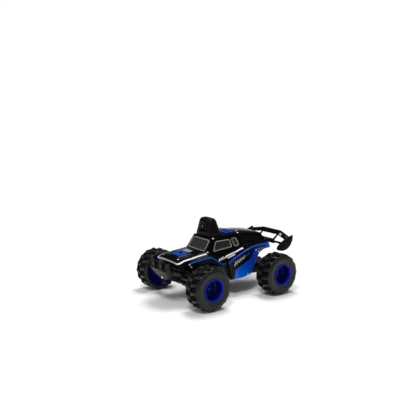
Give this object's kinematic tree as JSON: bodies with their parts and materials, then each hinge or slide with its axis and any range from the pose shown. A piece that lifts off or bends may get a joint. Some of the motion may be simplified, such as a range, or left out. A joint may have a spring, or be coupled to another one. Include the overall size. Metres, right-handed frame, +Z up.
{
  "type": "remote control car",
  "caption": "Small remote control off-road truck with knobbly tyres, blue rims and skirts, a tilting roof camera, steering front wheels, a geared rear axle and a gull wing.",
  "frame": {"origin": "on the ground under the middle of the overall length and width", "axes": "+Z up, front of the truck towards -Y, its left side towards +X"},
  "size_m": [0.0806, 0.111, 0.0575],
  "materials": {
    "shell": "gloss",
    "skirt": "gloss",
    "nylon": "matt",
    "tyre": "matt",
    "rim": "satin",
    "window": "satin",
    "steel": "satin",
    "brass": "satin",
    "acetal": "satin",
    "lamp": "gloss",
    "camera_glass": "gloss",
    "board": "satin",
    "battery": "satin"
  },
  "bodies": {
    "chassis": {"body_shell": "shell", "wing_blade": "shell", "wing_endplate_left": "shell", "wing_endplate_right": "shell", "side_skirt_left": "skirt", "side_skirt_right": "skirt", "windshield": "window", "door_window_left": "window", "door_window_right": "window", "quarter_window_left": "window", "quarter_window_right": "window", "engine_panel_left": "nylon", "engine_panel_right": "nylon", "camera_pod": "nylon", "front_bumper": "nylon", "headlamp_left": "lamp", "headlamp_right": "lamp", "bumper_screw": "steel", "wing_mount": "nylon", "rear_skid": "nylon", "chassis_tub": "nylon", "battery_door": "nylon", "battery_pack": "battery", "circuit_board": "board", "charge_socket": "steel", "lower_arm_left": "nylon", "lower_arm_right": "nylon", "kingpin_left": "steel", "kingpin_right": "steel", "steering_brace": "nylon", "steering_servo": "nylon", "gearbox_lower": "nylon", "gearbox_upper": "nylon", "drive_motor": "steel", "axle_tube_left": "nylon", "axle_tube_right": "nylon"},
    "knuckle_left_body": {"knuckle_left": "nylon"},
    "knuckle_right_body": {"knuckle_right": "nylon"},
    "wheel_front_left": {"tyre_front_left": "tyre", "rim_front_left": "rim", "wheel_screw_front_left": "steel"},
    "wheel_front_right": {"tyre_front_right": "tyre", "rim_front_right": "rim", "wheel_screw_front_right": "steel"},
    "rear_axle_set": {"rear_axle": "steel", "spur_gear": "acetal", "tyre_rear_left": "tyre", "rim_rear_left": "rim", "wheel_screw_rear_left": "steel", "tyre_rear_right": "tyre", "rim_rear_right": "rim", "wheel_screw_rear_right": "steel"},
    "pinion": {"motor_pinion": "brass"},
    "tie_rod_body": {"tie_rod": "nylon"},
    "horn": {"servo_horn": "acetal"},
    "camera": {"camera_block": "nylon", "camera_lens": "camera_glass"},
    "switch": {"power_switch": "acetal"}
  },
  "joints": [
    {"name": "steer_left", "type": "hinge", "parent": "chassis", "child": "knuckle_left_body", "pos_m": [0.021, -0.0341, 0.0155], "axis": [0, 0, 1], "range_deg": [-20, 20]},
    {"name": "steer_right", "type": "hinge", "parent": "chassis", "child": "knuckle_right_body", "pos_m": [-0.021, -0.0341, 0.0155], "axis": [0, 0, 1], "range_deg": [-20, 20]},
    {"name": "tie_rod_slide", "type": "slide", "parent": "chassis", "child": "tie_rod_body", "axis": [1, 0, 0], "range_m": [-0.00193, 0.00193]},
    {"name": "servo_turn", "type": "hinge", "parent": "chassis", "child": "horn", "pos_m": [0, -0.0374, 0.0153], "axis": [0, 1, 0], "range_deg": [-37, 37]},
    {"name": "front_wheel_left_spin", "type": "hinge", "parent": "knuckle_left_body", "child": "wheel_front_left", "pos_m": [0.0328, -0.0341, 0.0155], "axis": [1, 0, 0], "continuous": true},
    {"name": "front_wheel_right_spin", "type": "hinge", "parent": "knuckle_right_body", "child": "wheel_front_right", "pos_m": [-0.0328, -0.0341, 0.0155], "axis": [1, 0, 0], "continuous": true},
    {"name": "rear_axle_spin", "type": "hinge", "parent": "chassis", "child": "rear_axle_set", "pos_m": [0, 0.0299, 0.0155], "axis": [1, 0, 0], "continuous": true},
    {"name": "pinion_spin", "type": "hinge", "parent": "chassis", "child": "pinion", "pos_m": [-0.0066, 0.02422, 0.0171], "axis": [1, 0, 0], "continuous": true},
    {"name": "camera_tilt", "type": "hinge", "parent": "chassis", "child": "camera", "pos_m": [0, -0.0105, 0.0518], "axis": [1, 0, 0], "range_deg": [-8, 12]},
    {"name": "power_switch_slide", "type": "slide", "parent": "chassis", "child": "switch", "axis": [0, 1, 0], "range_m": [0, 0.0025]}
  ],
  "couplings": [
    {"joint": "steer_right", "follows": "steer_left", "ratio": 1},
    {"joint": "tie_rod_slide", "follows": "steer_left", "m_per_rad": 0.0055},
    {"joint": "servo_turn", "follows": "steer_left", "ratio": 1.8333},
    {"joint": "pinion_spin", "follows": "rear_axle_spin", "ratio": -2.2222}
  ]
}
